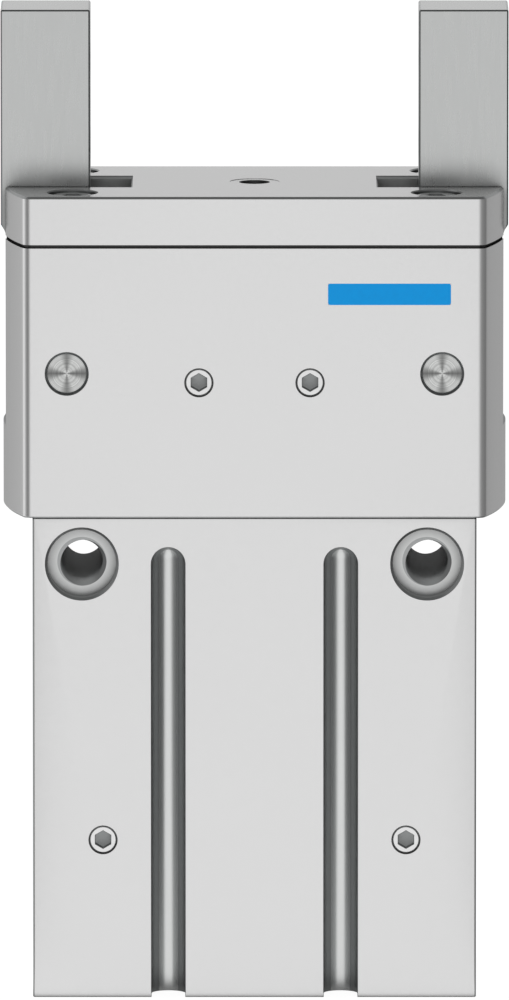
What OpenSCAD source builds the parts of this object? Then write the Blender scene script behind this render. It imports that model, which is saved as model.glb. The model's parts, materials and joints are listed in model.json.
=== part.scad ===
// Pneumatic radial gripper: a double-acting cylinder lifts a crosshead whose two racks
// swing a pair of toothed fingers, each through a quarter turn.
// Units are millimetres. X runs left to right, Y runs front to back and Z is up.
// The origin is the centre of the flat base. The fingers are drawn closed and upright.

/* [Cylinder body] */
// Width of the cylinder body
body_w = 72; // [72:0.5:76]
// Depth of the cylinder body, a little less than the head's
body_d = 39.4; // [39:0.2:39.8]
// Height of the cylinder body, up to the underside of the head
body_h = 78.75; // [78:0.25:79]
// Diameter of the piston bore
bore_d = 32; // [30:1:32]

/* [Head] */
// Width of the head across the crowns of its curved sides
head_w = 81.8; // [81:0.2:83]
// Depth of the head and of its cover
head_d = 40; // [40:0.5:42]
// Height of the head above the cylinder body
head_h = 44.45; // [44.45:0.05:46]
// Radius of the head's curved sides
side_r = 56; // [55:1:70]
// Radius of the head's four upright edges
edge_r = 1; // [0.5:0.1:1.5]
// Thickness of the cover plate
cover_t = 8; // [7.5:0.5:10]
// Width of the slots and the cavity that the fingers swing in
slot_w = 14.4; // [14.2:0.1:15]
// Distance from the centre to the inner end of each slot in the cover
slot_start = 20.07; // [18:0.01:21]

/* [Fingers] */
// Distance from the centre to each finger's pivot
pivot_x = 30.4; // [30.3:0.1:30.5]
// Height of the finger pivots above the base
pivot_z = 102.35; // [102.3:0.05:102.6]
// Diameter of the pivot pins
pin_d = 7; // [6.5:0.1:7.2]
// Height of the finger tips above the base
tip_z = 160.1; // [156:0.1:175]
// Thickness of a finger, front to back
finger_t = 13.6; // [13.2:0.1:13.8]
// Distance from the pivot to a finger's gripping face
grip_offset = 3.7; // [3:0.1:4.4]
// Distance from the pivot to the outer face of a finger's free end
back_offset = 10.8; // [10:0.1:11.5]

/* [Drive] */
// Play between the rack and the sector, along the pitch line
backlash = 0.1; // [0.08:0.01:0.2]

/* [Mounting] */
// Distance between the two mounting holes
mount_spacing = 56; // [55:0.5:57]
// Height of the mounting holes above the base
mount_z = 71.2; // [70.5:0.1:71.5]
// Diameter of the centring recess at both ends of each mounting hole
sleeve_d = 12; // [11:0.5:12]
// Depth of the centring recess
sleeve_depth = 3; // [2:0.5:4]
// Distance between the two sensor grooves of one face
groove_spacing = 28; // [27.5:0.5:29]
// Width of a sensor groove
groove_w = 5.5; // [5:0.1:5.6]
// Depth of a sensor groove
groove_depth = 6.6; // [6:0.1:6.8]

/* [Hidden] */
$fn = 96;
TINY = 0.01;        // overlap that keeps neighbouring cuts from sharing a face
FIT = 0.02;         // radial play of a running fit

// Main heights
head_top_z = body_h + head_h;
cover_top_z = head_top_z + cover_t;
slot_floor_z = pivot_z - 10.05;     // clears the foot of a finger as it swings
pit_floor_z = 84;                   // floor under the crosshead
pit_half_w = 23.4;

// Gearing
gear_module = 1;
gear_teeth = 17;                    // that a whole gear of the sector's size would have
pitch_r = gear_module * gear_teeth / 2;
pressure_angle = 20;
base_r = pitch_r * cos(pressure_angle);
gear_tip_r = pitch_r + gear_module;
gear_root_r = pitch_r - 1.25 * gear_module;
tooth_pitch = PI * gear_module;
tooth_thickness = (tooth_pitch - backlash) / 2;
rack_pitch_x = pivot_x - pitch_r;
rack_root_x = rack_pitch_x - 1.25 * gear_module;
flank_steps = 6;
sector_first_tooth = -1;            // counted round from the tooth on the line of centres
sector_last_tooth = 5;
rack_teeth = 6;

// Finger profile, measured from the pivot
foot_r = 9.6;                       // outer face and rounded foot beside the pivot
foot_start_angle = 305;             // where the rounded foot takes over from the teeth
taper_start_z = 123.1 - pivot_z;
taper_end_z = 125 - pivot_z;
bush_r = 4.5;
bush_recess_r = 6.7;
bush_recess_depth = 0.5;
tool_hole_r = 2.5;
tool_hole_z = [137.5, 151.5];
tool_recess_r = 3.5;
tool_recess_depth = 1.6;

// Thrust washers, which fill the gap between a finger's recesses and the walls of the slot
washer_r = 6.5;
washer_play = 0.05;
washer_t = (slot_w - finger_t) / 2 + bush_recess_depth - 2 * washer_play;

// Crosshead, rod and its screw
crosshead_bottom_z = 85.2;
crosshead_top_z = 106.3;
rod_r = 6;
rod_top_z = 92;
rod_end_gap = 0.4;                  // below the spigot, inside the nut's pocket
rod_screw_r = 3;
rod_screw_head_r = 5;
rod_screw_head_h = 6;
rod_screw_hex = 5;
rod_screw_seat_z = 99.6;
rod_screw_end_z = 79;

// Cylinder interior
bore_r = bore_d / 2;
bore_top_z = 51.5;
cap_seat_r = bore_r + 0.5;
cap_bottom_z = 2.8;
cap_top_z = 10.8;
cap_dish_r = 11;
cap_dish_depth = 1;
ring_groove_r = cap_seat_r + 0.85;
ring_groove_bottom_z = 1.45;
ring_groove_top_z = 2.75;
ring_t = 1.2;
o_ring_z = 6.8;
o_ring_r = 0.83;
o_ring_groove_h = 2 * o_ring_r + 0.5;
bumper_gap = 0.1;
lower_bumper_t = 2.2;
upper_bumper_t = 2.8;
piston_bottom_z = cap_top_z + lower_bumper_t + bumper_gap;
piston_split_z = piston_bottom_z + 8;
magnet_h = 4;
piston_top_z = piston_bottom_z + 22;
piston_r = bore_r - 0.2;
spigot_r = 11;                      // centres the magnet on the lower piston half
seal_groove_r = bore_r - 3.2;
seal_groove_h = 3;
seal_play = 0.1;
lower_seal_z = piston_bottom_z + 2.6;
upper_seal_z = piston_top_z - 1.6 - seal_groove_h;
guide_ring_z = piston_split_z + magnet_h + 1.2;
guide_ring_h = 2.6;
guide_groove_r = piston_r - 1.6;
rod_spigot_r = 4;
nut_pocket_r = 7.8;
nut_pocket_h = 5;
nut_h = 4.6;
nut_hex = 13;

// Partition between the cylinder and the head
rod_hole_r = rod_r + 0.3;
seal_pocket_r = 10;
seal_pocket_top_z = 58.5;
retainer_top_z = 54;
guide_bush_r = 8;
guide_bush_bottom_z = 66;
guide_bush_top_z = 83.8;

// Ports and air channels
port_z = 25.9;
port_r = 4.3;
port_end_x = 27;
feed_r = 2;
feed_end_x = 21;
channel_x = 22;
channel_r = 1.5;
channel_top_z = 58;
channel_plug_z = [0.6, 3.8];
lower_chamber_inlet = [14.5, 11.9];  // x and z where the lower oblique channel meets the bore
upper_chamber_inlet = [14.5, 46];

// Small fasteners
socket_share = 0.55;                // depth of a cap screw's socket in its head
screw_xy = [29.5, 14];
screw_r = 2;
screw_head_r = 3.5;
screw_head_h = 4;
screw_hex = 3;
screw_counterbore_r = 4;
screw_counterbore_depth = 4.4;
screw_l = 12;
dowel_xy = [12, 13.5];
dowel_r = 2;
dowel_l = 10;
dowel_in_cover = 4;
grub_r = 2.35;
grub_l = 6;
grub_hex = 2.5;
grub_socket_depth = 2.7;
grub_recess = 0.3;
purge_x = 9;
purge_z = 100.9;
port_plug_x = 24.6;

// Other holes
mount_thread_r = 4;
mount_thread_l = 16;
mount_core_r = 3.4;
cover_hole_r = 2.5;
cover_recess_r = 4.05;
cover_recess_depth = 0.1;           // only a faced spot around the hole
base_hole_x = 30;
base_hole_r = 2.5;
base_hole_depth = 12;
base_recess_r = 4.5;
base_recess_depth = 2.1;
groove_top_z = 73.9;
pin_recess = 0.6;
pin_chamfer = 0.35;

// Plain blue inlay on the front of the head
marking = [11.9, 31.8, 113.6, 117.1];  // left, right, bottom and top edges
marking_t = 0.1;

// ---- Shared shapes ----

// The point at radius r and angle a
function polar(r, a) = [r * cos(a), r * sin(a)];

// Points of an arc about centre c, from angle a0 to a1
function arc(c, r, a0, a1, steps) = [
    for (i = [0:steps]) c + polar(r, a0 + (a1 - a0) * i / steps)
];

// Plan of the head: flat front and back, bowed sides and softened upright edges
module head_outline() {
    crown_x = head_w / 2 - side_r;
    edge_y = head_d / 2 - edge_r;
    edge_x = crown_x + sqrt(pow(side_r - edge_r, 2) - pow(edge_y, 2));
    turn = atan2(edge_y, edge_x - crown_x);
    right_side = concat(
        arc([edge_x, -edge_y], edge_r, -90, -turn, 6),
        arc([crown_x, 0], side_r, -turn, turn, 24),
        arc([edge_x, edge_y], edge_r, turn, 90, 6)
    );
    polygon(concat(right_side, [for (p = right_side) -p]));
}

// A cylinder along Y, centred on [x, z], from y0 to y1
module y_cylinder(x, z, r, y0, y1) {
    translate([x, y0, z])
        rotate([-90, 0, 0])
            cylinder(r = r, h = y1 - y0);
}

// A cylinder along X, centred on [y, z], from x0 to x1
module x_cylinder(y, z, r, x0, x1) {
    translate([x0, y, z])
        rotate([0, 90, 0])
            cylinder(r = r, h = x1 - x0);
}

// A straight round channel in the XZ plane between two [x, z] points
module oblique_channel(from, to) {
    run = to - from;
    translate([from[0], 0, from[1]])
        rotate([0, atan2(run[0], run[1]), 0])
            cylinder(r = channel_r, h = norm(run));
}

// A ring about the Z axis
module ring(outer_r, inner_r, z0, z1) {
    translate([0, 0, z0])
        rotate_extrude()
            translate([inner_r, 0])
                square([outer_r - inner_r, z1 - z0]);
}

// A solid extruded front to back from a shape drawn in x and z
module front_extrude(thickness) {
    translate([0, thickness / 2, 0])
        rotate([90, 0, 0])
            linear_extrude(height = thickness)
                children();
}

// Both sides: the children as drawn, and their mirror image
module both_sides() {
    children();
    mirror([1, 0, 0])
        children();
}

// The children as drawn, and their mirror image behind
module front_and_back() {
    children();
    mirror([0, 1, 0])
        children();
}

// A hexagon socket, cut downwards from the origin
module hex_socket(across_flats, depth) {
    translate([0, 0, -depth])
        cylinder(r = across_flats / sqrt(3), h = depth + TINY, $fn = 6);
}

// A socket-head cap screw whose head rests on z = 0, with its shank below
module cap_screw(shank_r, length, head_r, head_h, socket) {
    difference() {
        union() {
            cylinder(r = head_r, h = head_h);
            translate([0, 0, -length])
                cylinder(r = shank_r, h = length + TINY);
        }
        translate([0, 0, head_h])
            hex_socket(socket, head_h * socket_share);
    }
}

// A grub screw along Y whose outer end lies at y0 on the front
module grub_screw(x, y0, z) {
    translate([x, y0, z])
        rotate([90, 0, 0])
            difference() {
                translate([0, 0, -grub_l])
                    cylinder(r = grub_r - FIT, h = grub_l);
                rotate([0, 0, 30])
                    hex_socket(grub_hex, grub_socket_depth);
            }
}

// ---- Housing ----

module sensor_groove() {
    round_r = groove_w / 2;
    round_y = -body_d / 2 + groove_depth - round_r;
    ball_z = groove_top_z - round_r;
    translate([groove_spacing / 2, 0, 0]) {
        translate([-round_r, -body_d, -1])
            cube([groove_w, body_d + round_y, ball_z + 1]);
        translate([0, round_y, -1])
            cylinder(r = round_r, h = ball_z + 1);
        y_cylinder(0, ball_z, round_r, -body_d, round_y);
        translate([0, round_y, ball_z])
            sphere(r = round_r);
    }
}

module mounting_hole() {
    x = mount_spacing / 2;
    recess_y = body_d / 2 - sleeve_depth;
    y_cylinder(x, mount_z, mount_core_r, -head_d, head_d);
    y_cylinder(x, mount_z, mount_thread_r, -head_d, -recess_y + mount_thread_l);
    front_and_back()
        y_cylinder(x, mount_z, sleeve_d / 2, recess_y, head_d);
}

// Bore, end cap seat and circlip groove, then the stepped hole for the rod
module cylinder_cuts() {
    translate([0, 0, -1])
        cylinder(r = cap_seat_r, h = cap_top_z + 1);
    translate([0, 0, ring_groove_bottom_z])
        cylinder(r = ring_groove_r, h = ring_groove_top_z - ring_groove_bottom_z);
    cylinder(r = bore_r, h = bore_top_z);
    cylinder(r = seal_pocket_r, h = seal_pocket_top_z);
    cylinder(r = rod_hole_r, h = pit_floor_z + 1);
    translate([0, 0, guide_bush_bottom_z])
        cylinder(r = guide_bush_r, h = pit_floor_z + 1 - guide_bush_bottom_z);
}

// Cavity for the crosshead, and the slots that let the fingers out at the sides
module head_cavity() {
    translate([-pit_half_w, -slot_w / 2, pit_floor_z])
        cube([2 * pit_half_w, slot_w, head_top_z + 1 - pit_floor_z]);
    translate([-head_w, -slot_w / 2, slot_floor_z])
        cube([2 * head_w, slot_w, head_top_z + 1 - slot_floor_z]);
}

module air_channels() {
    both_sides() {
        x_cylinder(0, port_z, port_r, port_end_x, body_w);
        x_cylinder(0, port_z, feed_r, feed_end_x, port_end_x + TINY);
        y_cylinder(port_plug_x, port_z, grub_r, -head_d, 0.5);
        y_cylinder(purge_x, purge_z, grub_r, -head_d, -slot_w / 2 + 1);
    }
    // Left port to the chamber below the piston
    mirror([1, 0, 0])
        oblique_channel(lower_chamber_inlet, [channel_x, port_z]);
    // Right port up to the chamber above the piston
    translate([channel_x, 0, -1])
        cylinder(r = channel_r, h = channel_top_z + 1);
    oblique_channel(upper_chamber_inlet, [channel_x, channel_top_z - channel_r]);
}

module fastener_holes() {
    both_sides() {
        front_and_back()
            translate([screw_xy[0], screw_xy[1], head_top_z - screw_l + 2])
                cylinder(r = screw_r + FIT, h = screw_l);
        y_cylinder(pivot_x, pivot_z, pin_d / 2, -head_d, head_d);
        translate([base_hole_x, 0, -1])
            cylinder(r = base_hole_r, h = base_hole_depth + 1);
        translate([base_hole_x, 0, -1])
            cylinder(r = base_recess_r, h = base_recess_depth + 1);
    }
    for (side = [-1, 1])
        translate([side * dowel_xy[0], side * dowel_xy[1], head_top_z + dowel_in_cover - dowel_l])
            cylinder(r = dowel_r, h = dowel_l);
}

module housing() {
    color("gainsboro")
        difference() {
            union() {
                translate([-body_w / 2, -body_d / 2, 0])
                    cube([body_w, body_d, body_h + 1]);
                translate([0, 0, body_h])
                    linear_extrude(height = head_h)
                        head_outline();
            }
            cylinder_cuts();
            head_cavity();
            air_channels();
            fastener_holes();
            both_sides() {
                front_and_back()
                    sensor_groove();
                mounting_hole();
            }
            marking_block();
        }
}

module cover_plate() {
    color("gainsboro")
        difference() {
            translate([0, 0, head_top_z])
                linear_extrude(height = cover_t)
                    head_outline();
            both_sides()
                translate([slot_start, -slot_w / 2, head_top_z - 1])
                    cube([head_w, slot_w, cover_t + 2]);
            translate([0, 0, head_top_z - 1])
                cylinder(r = cover_hole_r, h = cover_t + 2);
            translate([0, 0, cover_top_z - cover_recess_depth])
                cylinder(r = cover_recess_r, h = cover_recess_depth + 1);
            both_sides()
                front_and_back()
                    translate([screw_xy[0], screw_xy[1], 0]) {
                        translate([0, 0, head_top_z - 1])
                            cylinder(r = screw_r + 0.2, h = cover_t + 2);
                        translate([0, 0, cover_top_z - screw_counterbore_depth])
                            cylinder(r = screw_counterbore_r, h = screw_counterbore_depth + 1);
                    }
            for (side = [-1, 1])
                translate([side * dowel_xy[0], side * dowel_xy[1], head_top_z - 1])
                    cylinder(r = dowel_r, h = dowel_in_cover + 1 + TINY);
        }
}

module cover_screws() {
    color("dimgray")
        both_sides()
            front_and_back()
                translate([screw_xy[0], screw_xy[1], cover_top_z - screw_counterbore_depth])
                    cap_screw(screw_r, screw_l, screw_head_r, screw_head_h, screw_hex);
}

module cover_dowel_pins() {
    color("silver")
        for (side = [-1, 1])
            translate([side * dowel_xy[0], side * dowel_xy[1], head_top_z + dowel_in_cover - dowel_l])
                cylinder(r = dowel_r, h = dowel_l);
}

module marking_block() {
    translate([marking[0], -head_d / 2, marking[2]])
        cube([marking[1] - marking[0], marking_t, marking[3] - marking[2]]);
}

module marking_bar() {
    color("deepskyblue")
        marking_block();
}

// ---- Finger pivots ----

// A ground pin with a chamfer at each end, set just below the faces of the head
module pivot_pin(side) {
    half_l = head_d / 2 - pin_recess;
    r = pin_d / 2;
    color("silver")
        translate([side * pivot_x, 0, pivot_z])
            rotate([90, 0, 0])
                rotate_extrude()
                    polygon([
                        [0, -half_l],
                        [r - pin_chamfer, -half_l],
                        [r, -half_l + pin_chamfer],
                        [r, half_l - pin_chamfer],
                        [r - pin_chamfer, half_l],
                        [0, half_l]
                    ]);
}

module thrust_washers(side) {
    outer_y = slot_w / 2 - washer_play;
    color("peru")
        front_and_back()
            difference() {
                y_cylinder(side * pivot_x, pivot_z, washer_r, outer_y - washer_t, outer_y);
                y_cylinder(side * pivot_x, pivot_z, pin_d / 2 + 0.05, 0, head_d);
            }
}

// ---- Plugs ----

module purge_plugs() {
    color("silver")
        for (side = [-1, 1])
            grub_screw(side * purge_x, -head_d / 2 + grub_recess, purge_z);
}

module port_plugs() {
    color("silver")
        for (side = [-1, 1])
            grub_screw(side * port_plug_x, -body_d / 2 + grub_recess, port_z);
}

module channel_plug() {
    color("goldenrod")
        translate([channel_x, 0, channel_plug_z[0]])
            cylinder(r = channel_r, h = channel_plug_z[1] - channel_plug_z[0]);
}

// ---- Lower end of the cylinder ----

module end_cap() {
    groove_r = cap_seat_r - 2 * o_ring_r - FIT;
    groove_z = o_ring_z - o_ring_groove_h / 2;
    color("lightsteelblue")
        difference() {
            ring(cap_seat_r - FIT, 0, cap_bottom_z, cap_top_z);
            ring(cap_seat_r + 1, groove_r, groove_z, groove_z + o_ring_groove_h);
            translate([0, 0, cap_bottom_z - 1])
                cylinder(r = cap_dish_r, h = cap_dish_depth + 1);
        }
}

module end_cap_o_ring() {
    color("black")
        translate([0, 0, o_ring_z])
            rotate_extrude()
                translate([cap_seat_r - FIT / 2 - o_ring_r, 0])
                    circle(r = o_ring_r - FIT / 2, $fn = 32);
}

// Internal circlip: an open ring with two eyes for the pliers
module retaining_ring() {
    outer_r = ring_groove_r - 0.1;
    inner_r = outer_r - 2.4;
    eye_r = 1.9;
    eye_hole_r = 0.75;
    eye_ring_r = inner_r - 0.7;
    eye_angle = 12;
    gap_angle = 8;
    gap_l = 2 * outer_r;
    bottom_z = (ring_groove_bottom_z + ring_groove_top_z - ring_t) / 2;
    color("darkgray")
        translate([0, 0, bottom_z])
            difference() {
                union() {
                    ring(outer_r, inner_r, 0, ring_t);
                    for (side = [-1, 1])
                        rotate([0, 0, -90 + side * eye_angle])
                            translate([eye_ring_r, 0, 0])
                                cylinder(r = eye_r, h = ring_t);
                }
                for (side = [-1, 1])
                    rotate([0, 0, -90 + side * eye_angle])
                        translate([eye_ring_r, 0, -1])
                            cylinder(r = eye_hole_r, h = ring_t + 2);
                translate([0, 0, -1])
                    linear_extrude(height = ring_t + 2)
                        polygon([
                            [0, 0],
                            polar(gap_l, -90 - gap_angle / 2),
                            polar(gap_l, -90 + gap_angle / 2)
                        ]);
            }
}

module lower_bumper() {
    color("darkslategray")
        ring(bore_r - 3, bore_r - 7, cap_top_z, cap_top_z + lower_bumper_t);
}

module upper_bumper() {
    color("darkslategray")
        ring(bore_r - 4, rod_r + 1.5, bore_top_z - upper_bumper_t, bore_top_z);
}

// ---- Rod guide and seal ----

module rod_guide_bush() {
    color("peru")
        ring(guide_bush_r, rod_r + FIT, guide_bush_bottom_z, guide_bush_top_z);
}

// U-cup: a ring with a V-shaped channel on its pressure side
module u_cup(outer_r, inner_r, z0, z1) {
    wall = outer_r - inner_r;
    lip_z = z0 + 0.4 * (z1 - z0);
    rotate_extrude()
        polygon([
            [inner_r, z0],
            [inner_r + 0.2 * wall, z0],
            [inner_r + 0.5 * wall, lip_z],
            [outer_r - 0.2 * wall, z0],
            [outer_r, z0],
            [outer_r, z1],
            [inner_r, z1]
        ]);
}

module rod_seal() {
    color("darkolivegreen")
        u_cup(seal_pocket_r - FIT, rod_r + FIT, retainer_top_z + 0.2, seal_pocket_top_z - 0.1);
}

module seal_retainer() {
    color("lightsteelblue")
        ring(seal_pocket_r, rod_r + 0.4, bore_top_z, retainer_top_z);
}

// ---- Piston and rod ----

module piston_lower_half() {
    color("lightsteelblue")
        difference() {
            union() {
                ring(piston_r, 0, piston_bottom_z, piston_split_z);
                ring(spigot_r, 0, piston_split_z - TINY, piston_split_z + magnet_h);
            }
            ring(bore_r + 1, seal_groove_r, lower_seal_z, lower_seal_z + seal_groove_h);
            translate([0, 0, piston_bottom_z - 1]) {
                cylinder(r = nut_pocket_r, h = nut_pocket_h + 1);
                cylinder(r = rod_spigot_r + FIT, h = piston_top_z);
            }
        }
}

module piston_upper_half() {
    color("lightsteelblue")
        difference() {
            ring(piston_r, rod_spigot_r + FIT, piston_split_z + magnet_h, piston_top_z);
            ring(bore_r + 1, seal_groove_r, upper_seal_z, upper_seal_z + seal_groove_h);
            ring(bore_r + 1, guide_groove_r, guide_ring_z, guide_ring_z + guide_ring_h);
        }
}

module piston_magnet() {
    color("dimgray")
        ring(piston_r - 0.4, spigot_r + FIT, piston_split_z, piston_split_z + magnet_h);
}

// The two lips face away from each other, towards the pressure
module piston_seals() {
    outer_r = bore_r - FIT;
    inner_r = seal_groove_r + FIT;
    seal_h = seal_groove_h - 2 * seal_play;
    color("darkolivegreen") {
        u_cup(outer_r, inner_r, lower_seal_z + seal_play, lower_seal_z + seal_play + seal_h);
        translate([0, 0, upper_seal_z + seal_groove_h])
            mirror([0, 0, 1])
                u_cup(outer_r, inner_r, seal_play, seal_play + seal_h);
    }
}

module piston_guide_ring() {
    color("sienna")
        ring(bore_r - FIT, guide_groove_r + FIT, guide_ring_z + FIT, guide_ring_z + guide_ring_h - FIT);
}

module piston_nut() {
    top_z = piston_bottom_z + nut_pocket_h;
    color("silver")
        difference() {
            translate([0, 0, top_z - nut_h])
                cylinder(r = nut_hex / sqrt(3), h = nut_h, $fn = 6);
            translate([0, 0, top_z - nut_h - 1])
                cylinder(r = rod_spigot_r + FIT, h = nut_h + 2);
        }
}

module piston_rod() {
    color("silver")
        difference() {
            union() {
                translate([0, 0, piston_bottom_z + rod_end_gap])
                    cylinder(r = rod_spigot_r, h = piston_top_z - piston_bottom_z);
                translate([0, 0, piston_top_z])
                    cylinder(r = rod_r, h = rod_top_z - piston_top_z);
            }
            translate([0, 0, rod_screw_end_z - 1])
                cylinder(r = rod_screw_r + FIT, h = rod_top_z - rod_screw_end_z + 2);
        }
}

// ---- Rack and pinion ----

// Right-hand rack teeth, drawn in x and z; a gap faces the pivot when the fingers are closed
module rack_teeth_outline() {
    slope = tan(pressure_angle);
    tip_half = tooth_thickness / 2 - slope * gear_module;
    root_half = tooth_thickness / 2 + slope * 1.25 * gear_module;
    for (i = [0:rack_teeth - 1])
        translate([0, pivot_z + (0.5 - i) * tooth_pitch])
            polygon([
                [rack_root_x - 1, -root_half],
                [rack_root_x, -root_half],
                [rack_pitch_x + gear_module, -tip_half],
                [rack_pitch_x + gear_module, tip_half],
                [rack_root_x, root_half],
                [rack_root_x - 1, root_half]
            ]);
}

module crosshead() {
    color("slategray")
        difference() {
            union() {
                translate([-rack_root_x, -finger_t / 2, crosshead_bottom_z])
                    cube([2 * rack_root_x, finger_t, crosshead_top_z - crosshead_bottom_z]);
                both_sides()
                    front_extrude(finger_t)
                        rack_teeth_outline();
            }
            translate([0, 0, crosshead_bottom_z - 1])
                cylinder(r = rod_r + FIT, h = rod_top_z - crosshead_bottom_z + 1);
            translate([0, 0, crosshead_bottom_z])
                cylinder(r = rod_screw_r + 0.2, h = crosshead_top_z);
            translate([0, 0, rod_screw_seat_z])
                cylinder(r = rod_screw_head_r + 0.4, h = crosshead_top_z);
        }
}

module crosshead_screw() {
    color("dimgray")
        translate([0, 0, rod_screw_seat_z])
            cap_screw(
                rod_screw_r, rod_screw_seat_z - rod_screw_end_z,
                rod_screw_head_r, rod_screw_head_h, rod_screw_hex
            );
}

// Involute function, in degrees
function involute(angle) = tan(angle) * 180 / PI - angle;

// Half the angle that a tooth fills at radius r
function tooth_half_angle(r) =
    tooth_thickness / pitch_r / 2 * 180 / PI
    + involute(pressure_angle)
    - (r > base_r ? involute(acos(base_r / r)) : 0);

// One gear tooth about the origin, pointing along x
module gear_tooth() {
    foot = gear_root_r - 0.4;
    radii = concat(
        [foot],
        [for (i = [0:flank_steps]) base_r + (gear_tip_r - base_r) * i / flank_steps]
    );
    last = len(radii) - 1;
    polygon(concat(
        [for (i = [0:last]) polar(radii[i], -tooth_half_angle(radii[i]))],
        [for (i = [0:last]) polar(radii[last - i], tooth_half_angle(radii[last - i]))]
    ));
}

// A right-hand finger about its pivot, drawn in x and z: the blade, its rounded foot and the teeth
module finger_outline() {
    tooth_angle = 360 / gear_teeth;
    circle(r = gear_root_r);
    for (i = [sector_first_tooth:sector_last_tooth])
        rotate(180 + i * tooth_angle)
            gear_tooth();
    polygon(concat(
        [[-grip_offset, 0], [0, 0]],
        arc([0, 0], foot_r, foot_start_angle - 360, 0, 12),
        [
            [foot_r, taper_start_z],
            [back_offset, taper_end_z],
            [back_offset, tip_z - pivot_z],
            [-grip_offset, tip_z - pivot_z]
        ]
    ));
}

// A right-hand finger; the left one is its mirror image
module finger_solid() {
    difference() {
        translate([pivot_x, 0, pivot_z])
            front_extrude(finger_t)
                finger_outline();
        y_cylinder(pivot_x, pivot_z, bush_r, -head_d, head_d);
        front_and_back()
            y_cylinder(pivot_x, pivot_z, bush_recess_r, finger_t / 2 - bush_recess_depth, head_d);
        for (z = tool_hole_z) {
            x_cylinder(0, z, tool_hole_r, 0, head_w);
            x_cylinder(0, z, tool_recess_r, pivot_x + back_offset - tool_recess_depth, head_w);
        }
    }
}

module finger_bush(side) {
    half_l = finger_t / 2 - bush_recess_depth;
    color("peru")
        difference() {
            y_cylinder(side * pivot_x, pivot_z, bush_r, -half_l, half_l);
            y_cylinder(side * pivot_x, pivot_z, pin_d / 2 + FIT, -head_d, head_d);
        }
}

module right_finger() {
    color("darkgray")
        finger_solid();
}

module left_finger() {
    color("darkgray")
        mirror([1, 0, 0])
            finger_solid();
}

housing();
cover_plate();
cover_screws();
cover_dowel_pins();
pivot_pin(-1);  // left_pivot_pin
pivot_pin(1);  // right_pivot_pin
thrust_washers(-1);  // left_thrust_washers
thrust_washers(1);  // right_thrust_washers
purge_plugs();
port_plugs();
channel_plug();
marking_bar();
end_cap();
end_cap_o_ring();
retaining_ring();
lower_bumper();
upper_bumper();
rod_guide_bush();
rod_seal();
seal_retainer();
piston_lower_half();
piston_upper_half();
piston_magnet();
piston_seals();
piston_guide_ring();
piston_nut();
piston_rod();
crosshead();
crosshead_screw();
left_finger();
right_finger();
finger_bush(-1);  // left_finger_bush
finger_bush(1);  // right_finger_bush
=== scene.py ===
import json
import math

import bmesh
import bpy
from mathutils import Matrix, Vector


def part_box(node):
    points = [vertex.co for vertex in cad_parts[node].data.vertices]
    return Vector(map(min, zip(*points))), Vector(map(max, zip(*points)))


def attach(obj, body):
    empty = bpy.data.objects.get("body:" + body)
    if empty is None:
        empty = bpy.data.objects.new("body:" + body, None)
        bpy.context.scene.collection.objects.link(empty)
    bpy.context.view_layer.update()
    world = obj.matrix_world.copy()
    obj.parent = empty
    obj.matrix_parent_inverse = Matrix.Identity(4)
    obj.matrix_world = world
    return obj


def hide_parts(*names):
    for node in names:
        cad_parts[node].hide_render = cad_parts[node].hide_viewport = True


# Looks of a pneumatic radial gripper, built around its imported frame.
# Shapes are drawn in millimetres in the frame's own axes, and turned into metres when a
# piece is finished. X runs left to right, Y runs front to back and Z is up.

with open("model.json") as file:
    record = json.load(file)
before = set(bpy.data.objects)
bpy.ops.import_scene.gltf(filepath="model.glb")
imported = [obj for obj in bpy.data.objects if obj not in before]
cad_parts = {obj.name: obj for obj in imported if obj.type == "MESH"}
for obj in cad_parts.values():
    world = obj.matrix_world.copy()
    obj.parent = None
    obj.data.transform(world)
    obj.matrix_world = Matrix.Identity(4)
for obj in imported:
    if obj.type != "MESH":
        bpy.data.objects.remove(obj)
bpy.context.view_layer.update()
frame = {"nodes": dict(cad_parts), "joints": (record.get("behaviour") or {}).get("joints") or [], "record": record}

MM = 0.001
MOUNTS = {mount["name"]: mount for mount in frame["record"]["mounts"]}
SLOT_OF = {part["node"]: part["material_slot"] for part in frame["record"]["subparts"]}
SIDE_NAME = {-1: "left", 1: "right"}

# Material indices that every carved piece shares
FACE = 0
# On most pieces EDGE and BORE faces take darker colours, as painted shade.
EDGE = 1
BORE = 2
GROOVE = 3
RECESS = 4
# SEAM faces carry a painted shadow in the reliefs at the joints.
SEAM = 5
# the fingers' tops take a lighter colour, as a painted highlight
TIP = 3                  # on the fingers, which have no grooves


# ---- Sizes from the frame ----

def node_box(node):
    """Lowest and highest corner of a CAD node, in millimetres."""
    low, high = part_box(node)
    return low / MM, high / MM


def mount_at(name):
    """Position of a mount, in millimetres."""
    return Vector(MOUNTS[name]["pos_m"]) / MM


def mount_size(name, key):
    """One dimension of a mount, in millimetres."""
    return MOUNTS[name]["dims"][key]


HEAD_HIGH = node_box("housing")[1]
HEAD_HALF_W = HEAD_HIGH.x
HEAD_HALF_D = HEAD_HIGH.y
HEAD_TOP = HEAD_HIGH.z
COVER_TOP = node_box("cover_plate")[1].z
BODY_HALF_W = mount_at("right_air_port").x + mount_size("right_air_port", "length_mm") / 2
BODY_HALF_D = mount_at("back_face").y
JOINTS = {joint["name"]: joint for joint in frame["joints"]}
RIGHT_PIVOT = Vector(JOINTS["right_finger_swing"]["pos_m"]) / MM
PIN_LOW, PIN_HIGH = node_box("right_pivot_pin")
PIN_R = (PIN_HIGH.x - PIN_LOW.x) / 2
FINGER_LOW, FINGER_HIGH = node_box("right_finger")
FINGER_T = FINGER_HIGH.y - FINGER_LOW.y
GRIP_X = mount_at("right_grip_face").x

# ---- Sizes that the frame doesn't state ----

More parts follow.
